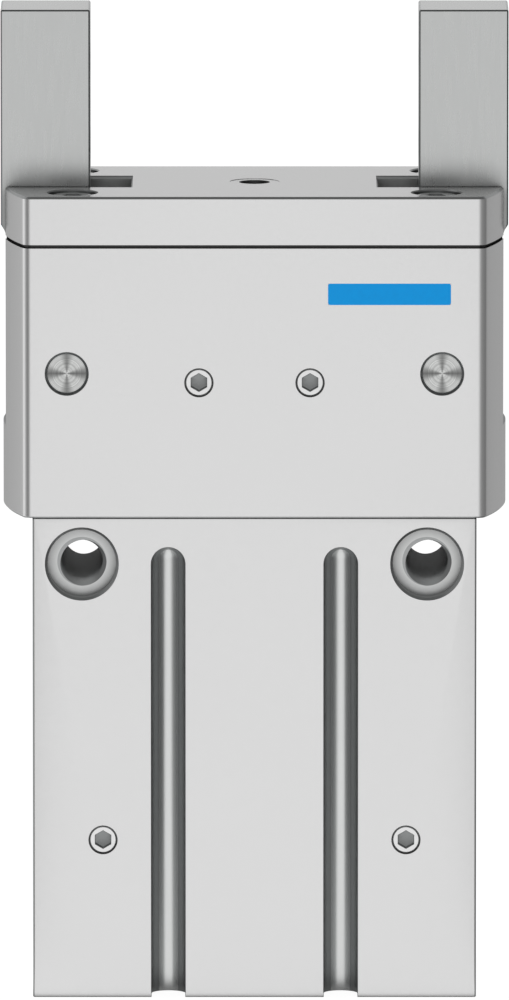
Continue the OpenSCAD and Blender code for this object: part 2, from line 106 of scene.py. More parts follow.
BODY_H = 78.75           # up to the underside of the head
HEAD_SIDE_R = 56         # the head's bowed sides
HEAD_EDGE_R = 1.5        # its four upright edges
BODY_EDGE_R = 0.35
CHAMFER = 0.25           # on most machined edges
HEAD_RELIEF = 0.40       # height of the relief under the joint between head and cover
COVER_RELIEF = 0.17      # and above it
RELIEF_DEPTH = 0.8
BODY_RELIEF = 0.18       # height of the relief on the body under the head
COVER_CHAMFER = 0.36
SLOT_HALF_W = 7.2
SLOT_FLOOR = RIGHT_PIVOT.z - 10.05
SLOT_START = 20.07       # inner end of each slot in the cover
SLOT_CHAMFER = 0.5       # depth down to the foot of the steep chamfer around each slot's mouth
SLOT_LIP = 0.14          # upright lip above that chamfer
PIT_FLOOR = 84
PIT_HALF_W = 23.4
GROOVE_HALF_W = 2.75
GROOVE_DEPTH = 6.6
GROOVE_TOP = 73.9
BORE_SEAT_R = 16.5
CAP_SEAT_DEPTH = 10.8
CHANNEL_R = 1.5
MOUNT_CORE_R = mount_size("mounting_through_holes", "hole_r_mm")
MOUNT_THREAD_R = mount_size("mounting_threads", "hole_r_mm")
MOUNT_THREAD_TURN = 158  # degrees, where the thread runs out at the mouth
MOUNT_PITCH = 1.25
PORT_PITCH = 0.907
M6_PITCH = 1
M5_PITCH = 0.8
SLEEVE_R = mount_size("left_sleeve_recess", "r_mm")
SLEEVE_DEPTH = mount_size("left_sleeve_recess", "length_mm")
SPOT_R = 4.05            # faced spot around the cover's centre hole
SPOT_DEPTH = 0.07
SCREW_X = 29.5
SCREW_Y = 14
SCREW_SINK_R = 4
SCREW_SINK_DEPTH = 4.4
SCREW_HOLE_R = 2.2
SCREW_HOLE_DEPTH = 10
FOOT_R = 9.6             # rounded foot and root of a finger, from its pivot
FOOT_START = -55         # degrees, where the foot takes over from the teeth
TAPER_LOW = 123.1
TAPER_HIGH = 125.0
GEAR_MODULE = 1
GEAR_TEETH = 17
PRESSURE_ANGLE = math.radians(20)
FIRST_TOOTH = -1         # counted from the line of centres, towards the foot
LAST_TOOTH = 5
TOOTH_THICKNESS = (math.pi * GEAR_MODULE - 0.1) / 2
BUSH_R = 4.5
BUSH_RECESS_R = 6.7
BUSH_RECESS_DEPTH = 0.5
OVER = 2                 # how far a cutter stands out of the surface that it enters
RELIEF_HEIGHT = 0.02     # of the grain that the materials raise


# ---- Outlines ----

def arc(centre, radius, start, end, steps):
    """Points of an arc, with its angles in degrees."""
    angles = [math.radians(start + (end - start) * i / steps) for i in range(steps + 1)]
    return [(centre[0] + radius * math.cos(a), centre[1] + radius * math.sin(a)) for a in angles]


def head_outline(inset=0.0):
    """Plan of the head and cover: flat front and back, bowed sides, softened upright edges."""
    crown_x = HEAD_HALF_W - HEAD_SIDE_R
    side_r = HEAD_SIDE_R - inset
    edge_r = HEAD_EDGE_R - inset
    edge_y = HEAD_HALF_D - HEAD_EDGE_R
    edge_x = crown_x + math.sqrt((side_r - edge_r) ** 2 - edge_y ** 2)
    turn = math.degrees(math.atan2(edge_y, edge_x - crown_x))
    right = arc((edge_x, -edge_y), edge_r, -90, -turn, 8)
    right += arc((crown_x, 0), side_r, -turn, turn, 48)[1:-1]
    right += arc((edge_x, edge_y), edge_r, turn, 90, 8)
    return right + [(-x, -y) for x, y in right]


def body_outline(inset=0.0):
    """Plan of the cylinder body: a rectangle with softened corners."""
    radius = BODY_EDGE_R
    x = BODY_HALF_W - inset - radius
    y = BODY_HALF_D - inset - radius
    points = arc((x, -y), radius, -90, 0, 4)
    points += arc((x, y), radius, 0, 90, 4)
    return points + [(-px, -py) for px, py in points]


def rectangle(x0, x1, y0, y1):
    """Corners of a rectangle, anticlockwise."""
    return [(x0, y0), (x1, y0), (x1, y1), (x0, y1)]


# ---- Solids ----

def object_from(bm, name):
    """A linked object that holds the mesh, with a slot for each shared material index."""
    bmesh.ops.recalc_face_normals(bm, faces=bm.faces)
    mesh = bpy.data.meshes.new(name)
    bm.to_mesh(mesh)
    bm.free()
    for _ in range(SEAM + 1):
        mesh.materials.append(None)
    obj = bpy.data.objects.new(name, mesh)
    bpy.context.scene.collection.objects.link(obj)
    return obj


def skin(name, rings, bands, cap=FACE):
    """A closed solid through rings of points, with a material index for each band between them."""
    bm = bmesh.new()
    loops = [[bm.verts.new(p) for p in ring] for ring in rings]
    for i in range(len(loops) - 1):
        count = len(loops[i])
        for j in range(count):
            k = (j + 1) % count
            face = bm.faces.new([loops[i][j], loops[i][k], loops[i + 1][k], loops[i + 1][j]])
            face.material_index = bands[i]
    for loop in (loops[0], loops[-1]):
        bm.faces.new(loop).material_index = cap
    return object_from(bm, name)


def block(name, plan, low_z, high_z, index):
    """A solid of one plan between two heights, with one material index."""
    return skin(name, [[(x, y, z) for x, y in plan] for z in (low_z, high_z)], [index], cap=index)


def stack(name, outline_at, levels, bands):
    """A solid of (height, inset) levels, each the outline drawn in by its inset."""
    rings = [[(x, y, z) for x, y in outline_at(inset)] for z, inset in levels]
    return skin(name, rings, bands)


def mark_corners(solid):
    """Counts the faces that turn an upright corner as edges, darker as painted shade."""
    for face in solid.data.polygons:
        if min(abs(face.normal.x), abs(face.normal.y)) > 0.2:
            face.material_index = EDGE


def turned(name, profile, bands=None, steps=72, ring_r=None):
    """A turned solid about Z through (radius, height) points, from axis to axis.
    ring_r changes a point's radius with its angle, for knurls and hexagons."""
    bm = bmesh.new()
    rings = []
    for index, (radius, height) in enumerate(profile):
        if radius == 0:
            rings.append([bm.verts.new((0, 0, height))])
            continue
        ring = []
        for step in range(steps):
            angle = 2 * math.pi * step / steps
            r = ring_r(index, radius, step) if ring_r else radius
            ring.append(bm.verts.new((r * math.cos(angle), r * math.sin(angle), height)))
        rings.append(ring)
    for i, (low, high) in enumerate(zip(rings, rings[1:])):
        for j in range(steps):
            k = (j + 1) % steps
            corners = [low[j % len(low)], low[k % len(low)], high[k % len(high)], high[j % len(high)]]
            distinct = list(dict.fromkeys(corners))
            if len(distinct) > 2:
                bm.faces.new(distinct).material_index = bands[i] if bands else FACE
    return object_from(bm, name)


def extruded(name, outline, depth, chamfer, centre):
    """A solid drawn in x and z about centre and extruded front to back, with chamfered rims."""
    bm = bmesh.new()
    points = [(centre[0] + x, centre[1] + z) for x, z in outline]
    front = [bm.verts.new((x, -depth / 2, z)) for x, z in points]
    back = [bm.verts.new((x, depth / 2, z)) for x, z in points]
    count = len(points)
    for j in range(count):
        k = (j + 1) % count
        bm.faces.new([front[j], front[k], back[k], back[j]])
    rims = [bm.faces.new(front), bm.faces.new(back)]
    if chamfer:
        edges = list({edge for face in rims for edge in face.edges})
        bmesh.ops.bevel(bm, geom=edges, offset=chamfer, segments=1, affect="EDGES", material=EDGE)
    return object_from(bm, name)


def place(obj, matrix):
    """Moves an object's own vertices."""
    obj.data.transform(matrix)
    return obj


UPSIDE_DOWN = Matrix.Rotation(math.pi, 4, "X")


def along_y(x, z, y=0.0, towards=-1):
    """Turns the Z axis to face the front (-1) or the back (1) at a place on the XZ plane."""
    return Matrix.Translation((x, y, z)) @ Matrix.Rotation(math.radians(-90 * towards), 4, "X")


def along_x(y, z, x=0.0, towards=1):
    """Turns the Z axis to the right (1) or left (-1) at a place on the YZ plane."""
    return Matrix.Translation((x, y, z)) @ Matrix.Rotation(math.radians(90 * towards), 4, "Y")


def boolean(target, tools, operation="DIFFERENCE"):
    """Carves the tools out of the target, or joins them to it, and keeps their material indices.
    All the tools work at once, so that no cut starts from the split faces of an earlier one."""
    group = bpy.data.collections.new("tools")
    for tool in tools:
        group.objects.link(tool)
    modifier = target.modifiers.new("carve", "BOOLEAN")
    modifier.operation = operation
    modifier.operand_type = "COLLECTION"
    modifier.collection = group
    modifier.solver = "EXACT"
    modifier.material_mode = "INDEX"
    graph = bpy.context.evaluated_depsgraph_get()
    mesh = bpy.data.meshes.new_from_object(target.evaluated_get(graph), depsgraph=graph)
    target.modifiers.clear()
    target.data = mesh
    for tool in tools:
        bpy.data.objects.remove(tool)
    bpy.data.collections.remove(group)


def bore(name, radius, depth, mouth=CHAMFER, wall=BORE):
    """A cutter for a flat-bottomed hole that runs down from z = 0, with a chamfered mouth."""
    profile = [(0, OVER), (radius + mouth, OVER), (radius + mouth, 0), (radius, -mouth),
               (radius, -depth), (0, -depth)]
    return turned(name, profile, [FACE, FACE, EDGE, wall, wall])


def screw_seat():
    """A cutter for a cover screw's hole below z = 0, with a counterbore for its head."""
    mouth = 0.2
    profile = [(0, OVER), (SCREW_SINK_R + mouth, OVER), (SCREW_SINK_R + mouth, 0),
               (SCREW_SINK_R, -mouth), (SCREW_SINK_R, -SCREW_SINK_DEPTH),
               (SCREW_HOLE_R, -SCREW_SINK_DEPTH), (SCREW_HOLE_R, -SCREW_HOLE_DEPTH),
               (0, -SCREW_HOLE_DEPTH)]
    return turned("sink_cutter", profile, [FACE, FACE, EDGE, BORE, FACE, BORE, FACE])


def thread_sleeve(name, major_r, minor_r, pitch, length, open_start=False, wall=BORE):
    """A thin lining below z = 0 whose inside carries a real helical thread. It is sunk a little
    into the wall of its hole, which is as wide as the thread's major radius. The thread fades out
    at both ends, or starts in full with open_start."""
    turn_steps = 48
    sunk = 0.12
    height = major_r - minor_r
    outer_r = major_r + sunk
    # Share of a pitch where the crest ends, the root starts and the root ends
    corners = [(0, minor_r), (0.125, minor_r), (0.4375, major_r), (0.6875, major_r), (1, minor_r)]

    def inner_r(depth, turn):
        share = (depth / pitch - turn) % 1
        radius = minor_r
        for (start, r0), (end, r1) in zip(corners, corners[1:]):
            if start <= share <= end:
                radius = r0 + (r1 - r0) * (share - start) / (end - start)
        from_end = length - depth if open_start else min(depth, length - depth)
        return max(radius, min(major_r, minor_r + height - from_end))

    turns = math.ceil(length / pitch) + 1
    phases = [turn + share for turn in range(turns) for share, _ in corners[:-1]]
    per_turn = len(corners) - 1
    bm = bmesh.new()
    columns = []
    for step in range(turn_steps):
        turn = step / turn_steps
        cos = math.cos(2 * math.pi * turn)
        sin = math.sin(2 * math.pi * turn)
        column = []
        for phase in phases:
            depth = min(max((phase + turn - 1) * pitch, 0), length)
            r = inner_r(depth, turn)
            column.append(bm.verts.new((r * cos, r * sin, -depth)))
        columns.append(column)
    for step in range(turn_steps):
        here = columns[step]
        if step + 1 < turn_steps:
            there = columns[step + 1]
        else:
            there = columns[0][per_turn:] + [columns[0][-1]] * per_turn
        for k in range(len(phases) - 1):
            distinct = list(dict.fromkeys([here[k], there[k], there[k + 1], here[k + 1]]))
            if len(distinct) > 2:
                bm.faces.new(distinct)
    bmesh.ops.remove_doubles(bm, verts=bm.verts, dist=1e-5)
    bmesh.ops.dissolve_degenerate(bm, edges=bm.edges, dist=1e-5)
    rim = [edge for edge in bm.edges if edge.is_boundary]
    grown = bmesh.ops.extrude_edge_only(bm, edges=rim)["geom"]
    for vert in grown:
        if isinstance(vert, bmesh.types.BMVert):
            scale = outer_r / math.hypot(vert.co.x, vert.co.y)
            vert.co.x *= scale
            vert.co.y *= scale
    outer = [edge for edge in bm.edges if edge.is_boundary]
    bmesh.ops.bridge_loops(bm, edges=outer)
    for face in bm.faces:
        face.material_index = wall
    return object_from(bm, name)


def tapped_hole(core_r, pitch, depth, thread_l, mouth=CHAMFER):
    """A cutter and a thread lining for a tapped hole below z = 0. The thread starts under a short
    plain length, and its crests are as wide as the hole."""
    plain = 0.6
    major_r = core_r + 0.6 * pitch
    cutter = turned("tap_cutter", [
        (0, OVER), (core_r + mouth, OVER), (core_r + mouth, 0), (core_r, -mouth), (core_r, -plain),
        (major_r, -plain), (major_r, -depth), (0, -depth - core_r / 2)
    ], [FACE, FACE, EDGE, BORE, BORE, BORE, BORE])
    thread = thread_sleeve("thread", major_r, core_r, pitch, thread_l - plain)
    return cutter, place(thread, Matrix.Translation((0, 0, -plain)))


def finish_piece(obj, body, materials, replaces, sharp=32):
    """Shades a piece, scales it to metres, gives it its materials and hands it to its body."""
    mesh = obj.data
    mesh.transform(Matrix.Scale(MM, 4))
    mesh.shade_smooth()
    mesh.set_sharp_from_angle(angle=math.radians(sharp))
    for index, material in enumerate(materials):
        mesh.materials[index] = material
    while len(mesh.materials) > len(materials):
        mesh.materials.pop()
    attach(obj, body)
    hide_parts(*replaces)


# ---- Materials ----

class NodeMaker:
    """Adds nodes to one tree. Values are numbers, colours or the outputs of other nodes."""

    def __init__(self, tree):
        self.nodes = tree.nodes
        self.links = tree.links

    def feed(self, node, values):
        """Gives inputs of a node their constants, or links them to other nodes' outputs."""
        for name, value in values.items():
            if isinstance(value, bpy.types.NodeSocket):
                self.links.new(value, node.inputs[name])
            else:
                node.inputs[name].default_value = value

    def step(self, kind, operation, values):
        """A sum worked out by a node of the given kind."""
        node = self.nodes.new(kind)
        node.operation = operation
        self.feed(node, dict(enumerate(values)))
        return node.outputs[0]

    def maths(self, operation, *values):
        """A sum on numbers."""
        return self.step("ShaderNodeMath", operation, values)

    def vector(self, operation, *values):
        """The same on vectors."""
        return self.step("ShaderNodeVectorMath", operation, values)

    def place(self, output="Object"):
        """Where a point lies in its object, or another texture coordinate."""
        return self.nodes.new("ShaderNodeTexCoord").outputs[output]

    def split(self, vector):
        """The x, y and z of a vector."""
        node = self.nodes.new("ShaderNodeSeparateXYZ")
        self.feed(node, {"Vector": vector})
        return node.outputs

    def noise(self, place, scale, detail):
        """Noise between 0 and 1, with scale lumps to the metre."""
        node = self.nodes.new("ShaderNodeTexNoise")
        self.feed(node, {"Vector": place, "Scale": scale, "Detail": detail})
        return node.outputs["Fac"]

    def spread(self, value, low, high, start=0.0, end=1.0, smooth=False):
        """Maps the range from start to end onto the range from low to high."""
        node = self.nodes.new("ShaderNodeMapRange")
        node.interpolation_type = "SMOOTHSTEP" if smooth else "LINEAR"
        self.feed(node, {"Value": value, "From Min": start, "From Max": end, "To Min": low,
                         "To Max": high})
        return node.outputs["Result"]

    def mix(self, first, second, factor=1.0, blend="MIX"):
        """Two colours blended, with factor as the second one's share."""
        node = self.nodes.new("ShaderNodeMix")
        node.data_type = "RGBA"
        node.blend_type = blend
        self.feed(node, {"Factor": factor, "A": first, "B": second})
        return node.outputs["Result"]

    def ramp(self, share, stops):
        """A colour ramp through (position, colour) stops."""
        node = self.nodes.new("ShaderNodeValToRGB")
        elements = node.color_ramp.elements
        for element, (position, color) in zip(elements, (stops[0], stops[-1])):
            element.position = position
            element.color = opaque(color)
        for position, color in stops[1:-1]:
            elements.new(position).color = opaque(color)
        self.feed(node, {"Fac": share})
        return node.outputs["Color"]

    def relief(self, height, strength):
        """A normal that follows a height between 0 and 1."""
        node = self.nodes.new("ShaderNodeBump")
        self.feed(node, {"Height": height, "Strength": strength, "Distance": RELIEF_HEIGHT * MM})
        return node.outputs["Normal"]


def opaque(color):
    """A colour with its alpha."""
    return (*color, 1)


def grey(level):
    """A colour without hue."""
    return (level, level, level)


def node_material(name):
    """A new material, with its shader and a maker for its other nodes."""
    material = bpy.data.materials.new(name)
    material.use_nodes = True
    return material, material.node_tree.nodes["Principled BSDF"], NodeMaker(material.node_tree)


def metal(name, color, roughness, grain=(1400, 1400, 1400), tint=0.015, bump=0.05,
          crevice=0.0, floor=0.2, reach=6.0, alone=False, anisotropy=0.0, spin_axis=None):
    """A metal with a fine grain. grain is the noise scale along x, y and z. crevice is how much
    darker a painted shade makes it where surfaces close in within reach millimetres, in full where
    only the share floor of the view is open. With alone, only the piece's own surfaces count."""
    open_share = 0.95        # of the view, from which a surface counts as fully open
    unevenness = 0.04        # of the roughness
    material, shader, make = node_material(name)
    position = make.place()
    mapping = make.nodes.new("ShaderNodeMapping")
    make.feed(mapping, {"Vector": position, "Scale": grain})
    fine = make.noise(mapping.outputs["Vector"], 1.0, 3.0)
    broad = make.noise(position, 60.0, 2.0)
    mottle = make.maths("MULTIPLY_ADD", fine, 0.5, make.maths("MULTIPLY", broad, 0.5))
    shade = make.spread(mottle, 1 - tint, 1 + tint)
    tone = make.mix(opaque(color), shade, blend="MULTIPLY")
    # Painted shade: ambient occlusion darkens the colour where surfaces close in
    if crevice:
        occlusion = make.nodes.new("ShaderNodeAmbientOcclusion")
        occlusion.samples = 16
        occlusion.only_local = alone
        make.feed(occlusion, {"Distance": reach * MM})
        depth = make.spread(occlusion.outputs["AO"], 1 - crevice, 1.0, floor, open_share)
        tone = make.mix(tone, depth, blend="MULTIPLY")
    dull = make.spread(fine, roughness - unevenness, roughness + unevenness)
    make.feed(shader, {"Base Color": tone, "Metallic": 1.0, "Roughness": dull,
                       "Anisotropic": anisotropy, "Normal": make.relief(fine, bump)})
    if spin_axis:
        tangent = make.nodes.new("ShaderNodeTangent")
        tangent.direction_type = "RADIAL"
        tangent.axis = spin_axis
        make.feed(shader, {"Tangent": tangent.outputs["Tangent"]})
    return material


def turned_metal(name, color, roughness):
    """The end of a turned pin, with its fine rings. Bright wedges between dark ones across the middle
    are painted highlights, in place of the light that the rings throw."""
    rings_per_m = 3400
    ring_contrast = 1.0
    material = metal(name, color, roughness, anisotropy=0.6, spin_axis="Y")
    shader = material.node_tree.nodes["Principled BSDF"]
    make = NodeMaker(material.node_tree)
    x, _, z = make.split(make.place())
    across = make.maths("SUBTRACT", make.maths("ABSOLUTE", x), RIGHT_PIVOT.x * MM)
    up = make.maths("SUBTRACT", z, RIGHT_PIVOT.z * MM)
    angle = make.maths("ARCTAN2", up, across)
    # Painted highlight: lighter in diagonal wedges, and a little towards the top and bottom
    wedges = make.maths("ABSOLUTE", make.maths("SINE", make.maths("MULTIPLY", angle, 2)))
    upright = make.maths("MULTIPLY", make.maths("ABSOLUTE", make.maths("SINE", angle)), 0.25)
    painted_highlight = make.ramp(make.maths("ADD", wedges, upright),
                             [(0.0, grey(0.21)), (0.5, grey(0.40)), (1.0, grey(0.76))])
    square = make.maths("ADD", make.maths("MULTIPLY", across, across), make.maths("MULTIPLY", up, up))
    turning = make.nodes.new("ShaderNodeTexNoise")
    turning.noise_dimensions = "1D"
    place_on_radius = make.maths("MULTIPLY", make.maths("SQRT", square), rings_per_m)
    make.feed(turning, {"W": place_on_radius, "Scale": 1.0, "Detail": 1.0})
    rings = make.maths("MULTIPLY_ADD", turning.outputs["Fac"], ring_contrast, 1 - ring_contrast / 2)
    ringed_highlight = make.vector("MULTIPLY", painted_highlight, rings)
    plain = shader.inputs["Base Color"].links[0].from_socket
    make.feed(shader, {"Base Color": make.mix(plain, ringed_highlight, blend="MULTIPLY")})
    return material


def polymer(name, color, roughness, bump=0.1, painted_glow=(0, 0, 0)):
    """Rubber or plastic with a faint moulded texture. glow is painted light that the part gives off."""
    lumps_per_m = 900
    unevenness = 0.05        # of the roughness
    material, shader, make = node_material(name)
    texture = make.noise(make.place(), lumps_per_m, 3.0)
    dark = [c * 0.9 for c in color]
    light = [min(1, c * 1.08) for c in color]
    make.feed(shader, {
        "Base Color": make.ramp(texture, [(0.0, dark), (1.0, light)]),
        "Roughness": make.spread(texture, roughness - unevenness, roughness + unevenness),
        "Normal": make.relief(texture, bump),
        "Specular IOR Level": 0.25, "Emission Color": opaque(painted_glow), "Emission Strength": 1.0
    })
    return material


# Where a material has a crevice setting, painted shade darkens it where surfaces close in.
ANODISED = metal("anodised_aluminium", (0.80, 0.80, 0.80), 0.24, crevice=0.5, floor=0.3, reach=5)
ANODISED_BODY = metal("anodised_body", (0.80, 0.80, 0.80), 0.24, crevice=0.5, floor=0.3, reach=5,
                      alone=True)
# Painted shade: chamfers, rounded corners, threads and groove flanks take this darker colour.
ANODISED_EDGE = metal("anodised_edge", (0.42, 0.43, 0.43), 0.30)
# Painted shade: bores, slots and threads are darker than the faces.
SHADED_BORE = metal("machined_bore", (0.40, 0.41, 0.41), 0.34, crevice=0.7, floor=0.15, reach=8)
GROOVE_WALL = metal("groove_wall", (0.76, 0.77, 0.765), 0.24, grain=(1400, 1400, 90))
RECESS_FLOOR = metal("recess_floor", (0.80, 0.81, 0.805), 0.30, crevice=0.7, floor=0.25, reach=3)
# Painted shadow: the reliefs at the joints of body, head and cover are near black.
JOINT_SHADOW = metal("joint_relief", (0.08, 0.08, 0.08), 0.45)
HOUSING_SET = [ANODISED_BODY, ANODISED_EDGE, SHADED_BORE, GROOVE_WALL, RECESS_FLOOR, JOINT_SHADOW]
COVER_SET = [ANODISED, ANODISED_EDGE, SHADED_BORE, GROOVE_WALL, RECESS_FLOOR, JOINT_SHADOW]

BLADE_STEEL = metal("nickel_steel", (0.60, 0.61, 0.605), 0.28, grain=(1600, 1600, 160),
                    tint=0.005, bump=0.002, crevice=0.7, floor=0.42, reach=6)
# Painted shade: the blade's chamfers and bores are darker. Painted highlight: its top is lighter.
BLADE_EDGE = metal("nickel_steel_edge", (0.22, 0.23, 0.23), 0.34)
BLADE_BORE = metal("nickel_steel_bore", (0.42, 0.43, 0.43), 0.36)
BLADE_TIP_HIGHLIGHT = metal("nickel_steel_tip", (0.76, 0.77, 0.765), 0.26)
FINGER_SET = [BLADE_STEEL, BLADE_EDGE, BLADE_BORE, BLADE_TIP_HIGHLIGHT]

PIN_FACE = turned_metal("turned_pin", (0.80, 0.81, 0.80), 0.22)
# Painted shade: the pin's chamfers are darker than its ends.
PIN_EDGE = metal("turned_pin_edge", (0.54, 0.55, 0.55), 0.30)
PLUG_STEEL = metal("plated_plug", (0.90, 0.90, 0.90), 0.30)
# Painted shade: the sockets and threads of the plugs and cover screws take these darker colours.
PLUG_SOCKET = metal("plated_socket", (0.33, 0.34, 0.34), 0.36, tint=0.10)
PLUG_RIM = metal("plated_rim", (0.38, 0.39, 0.39), 0.42)
SCREW_STEEL = metal("plated_screw", (0.62, 0.63, 0.63), 0.32)

SLOT_LOOK = {
    "anodised_aluminium": ANODISED,
    "nickel_steel": BLADE_STEEL,
    "turned_pin": PIN_FACE,
    "plated_plug": PLUG_STEEL,
    "plated_screw": SCREW_STEEL,
    "bare_aluminium": metal("bare_aluminium", (0.78, 0.79, 0.80), 0.30),
    "tool_steel": metal("tool_steel", (0.42, 0.43, 0.44), 0.38, grain=(300, 1800, 1800)),
    "ground_steel": metal("ground_steel", (0.70, 0.71, 0.72), 0.20, grain=(1800, 1800, 500)),
    "spring_steel": metal("spring_steel", (0.10, 0.10, 0.11), 0.48),
    "bronze": metal("sintered_bronze", (0.62, 0.40, 0.19), 0.42, tint=0.12),
    "black_rubber": polymer("black_rubber", (0.02, 0.02, 0.02), 0.60),
    "green_seal": polymer("green_seal", (0.03, 0.11, 0.05), 0.38),
    "guide_plastic": polymer("guide_plastic", (0.20, 0.09, 0.04), 0.45),
    "bonded_magnet": polymer("bonded_magnet", (0.03, 0.03, 0.03), 0.55),
    # Painted light: the blue bar glows a little.
    "blue_inlay": polymer("blue_inlay", (0.001, 0.36, 0.72), 0.5, bump=0.03, painted_glow=(0, 0.08, 0.28)),
}


# ---- Housing ----

def sensor_groove(x, towards):
    """A cutter for a round-bottomed groove, open at the base and closed by a ball end."""
    round_y = BODY_HALF_D - GROOVE_DEPTH + GROOVE_HALF_W
    mouth = 0.08
    arc_steps = 16
    floor_steps = 6          # of the arc, next to the groove's middle
    profile = [(GROOVE_HALF_W + mouth, BODY_HALF_D + OVER), (GROOVE_HALF_W + mouth, BODY_HALF_D),
               (GROOVE_HALF_W, BODY_HALF_D - mouth)]
    profile += arc((0, round_y), GROOVE_HALF_W, 0, -90, arc_steps)
    # Painted shade: the flanks take the darker edge colour, and only the floor of the round keeps a lighter one.
    bands = [FACE] + [EDGE] * (2 + arc_steps - floor_steps) + [GROOVE] * floor_steps
    ball_z = GROOVE_TOP - GROOVE_HALF_W
    turn_steps = 24
    bm = bmesh.new()
    columns = []
    for offset, y in profile:
        column = [bm.verts.new((x - offset, y * towards, -OVER))]
        for step in range(turn_steps + 1):
            angle = math.pi * (1 - step / turn_steps)
            across = x + offset * math.cos(angle)
            up = ball_z + offset * math.sin(angle)
            column.append(bm.verts.new((across, y * towards, up)))
        column.append(bm.verts.new((x + offset, y * towards, -OVER)))
        columns.append(column)
    for band, here, there in zip(bands, columns, columns[1:]):
        for j in range(len(here) - 1):
            face = bm.faces.new([here[j], there[j], there[j + 1], here[j + 1]])
            face.material_index = band
    bm.faces.new(columns[0])
    bottom = [column[0] for column in columns] + [column[-1] for column in reversed(columns)]
    bm.faces.new(bottom)
    bmesh.ops.remove_doubles(bm, verts=bm.verts, dist=1e-4)
    bmesh.ops.dissolve_degenerate(bm, edges=bm.edges, dist=1e-4)
    return object_from(bm, "sensor_groove_cutter")


def head_cavity():
    """Cutters for the crosshead's pit and for the slots that open at the sides."""
    wide = HEAD_HALF_W + OVER
    pit = rectangle(-PIT_HALF_W, PIT_HALF_W, -SLOT_HALF_W, SLOT_HALF_W)
    slot = rectangle(-wide, wide, -SLOT_HALF_W, SLOT_HALF_W)
    return [block("pit_cutter", pit, PIT_FLOOR, HEAD_TOP + OVER, BORE),
            block("slot_cutter", slot, SLOT_FLOOR, HEAD_TOP + OVER, BORE)]


def mounting_hole(side):
    """A recess for a centring sleeve at each end, a threaded length and a narrower core."""
    x = side * mount_at("right_sleeve_recess").x
    z = mount_at("right_sleeve_recess").z
    through = 2 * BODY_HALF_D
    rim = 0.42
    wall_r = SLEEVE_R - rim
    passage = turned("mount_cutter", [
        (0, OVER), (SLEEVE_R, OVER), (SLEEVE_R, 0), (wall_r, -rim), (wall_r, -SLEEVE_DEPTH),
        (MOUNT_THREAD_R, -SLEEVE_DEPTH), (MOUNT_THREAD_R, SLEEVE_DEPTH - through),
        (wall_r, SLEEVE_DEPTH - through), (wall_r, rim - through), (SLEEVE_R, -through),
        (SLEEVE_R, -through - OVER), (0, -through - OVER)
    ], [FACE, FACE, EDGE, BORE, RECESS, EDGE, RECESS, BORE, EDGE, FACE, FACE], steps=96)
    return place(passage, along_y(x, z, -BODY_HALF_D))


def mounting_thread(side):
    """The thread of a mounting hole, from the floor of one sleeve recess to the other."""
    recess = mount_at("right_sleeve_recess")
    gap = 0.02               # to the floor of the front recess
    length = 2 * (BODY_HALF_D - SLEEVE_DEPTH) - 0.1
    thread = thread_sleeve("mounting_thread", MOUNT_THREAD_R, MOUNT_CORE_R, MOUNT_PITCH, length,
                           open_start=True, wall=EDGE)
    place(thread, Matrix.Rotation(math.radians(MOUNT_THREAD_TURN), 4, "Z"))
    return place(thread, along_y(side * recess.x, recess.z, SLEEVE_DEPTH + gap - BODY_HALF_D))


def plug_bore(node, side, face_y):
    """A short blind hole that holds a grub screw in the front face."""
    depth = 8
    play = 0.02
    low, high = node_box(node)
    radius = (high.z - low.z) / 2 + play
    cutter = bore("plug_cutter", radius, depth, mouth=0.03)
    return place(cutter, along_y(side * plug_x(node), (high.z + low.z) / 2, -face_y))


def plug_x(node):
    """Distance of a pair of grub screws from the centre."""
    low, high = node_box(node)
    return high.x - (high.z - low.z) / 2


def pin_hole(side, towards):
    """The front (-1) or back (1) hole of a pivot pin."""
    depth = HEAD_HALF_D - SLOT_HALF_W + 1
    hole = bore("pin_cutter", PIN_R, depth, mouth=0.08, wall=EDGE)
    return place(hole, along_y(side * RIGHT_PIVOT.x, RIGHT_PIVOT.z, towards * HEAD_HALF_D, towards))


def air_port(side):
    """The cutters of a side's air port and of its feed hole, and the port's thread."""
    thread_l = 8.5
    feed_r = 2
    feed_depth = 15
    at_port = along_x(0, mount_at("right_air_port").z, side * BODY_HALF_W, side)
    port, thread = tapped_hole(mount_size("right_air_port", "r_mm"), PORT_PITCH,
                               mount_size("right_air_port", "length_mm"), thread_l, mouth=0.6)
    feed = bore("feed_cutter", feed_r, feed_depth)
    return [place(port, at_port), place(feed, at_port)], place(thread, at_port)


def base_hole(side):
    """The cutters of a tapped hole in the base and of its recess, and the hole's thread."""
    depth = 10
    thread_l = 9
    recess_depth = mount_size("right_base_recess", "length_mm")
    at_base = Matrix.Translation((side * mount_at("right_base_recess").x, 0, 0)) @ UPSIDE_DOWN
    at_thread = at_base @ Matrix.Translation((0, 0, -recess_depth))
    recess = bore("base_cutter", mount_size("right_base_recess", "r_mm"), recess_depth)
    hole, thread = tapped_hole(mount_size("base_threads", "hole_r_mm"), M6_PITCH, depth, thread_l)
    return [place(recess, at_base), place(hole, at_thread)], place(thread, at_thread)


def channel_mouth():
    """A cutter for the drilled air channel's mouth in the base, which its plug closes."""
    low, high = node_box("channel_plug")
    channel = bore("channel_cutter", CHANNEL_R, high.z, mouth=0.2)
    return place(channel, Matrix.Translation(((low.x + high.x) / 2, 0, 0)) @ UPSIDE_DOWN)


def marking_pocket():
    """A cutter for the shallow pocket that holds the blue bar."""
    low, high = node_box("marking_bar")
    plan = rectangle(low.x, high.x, low.y - OVER, high.y)
    return block("mark_cutter", plan, low.z, high.z, FACE)


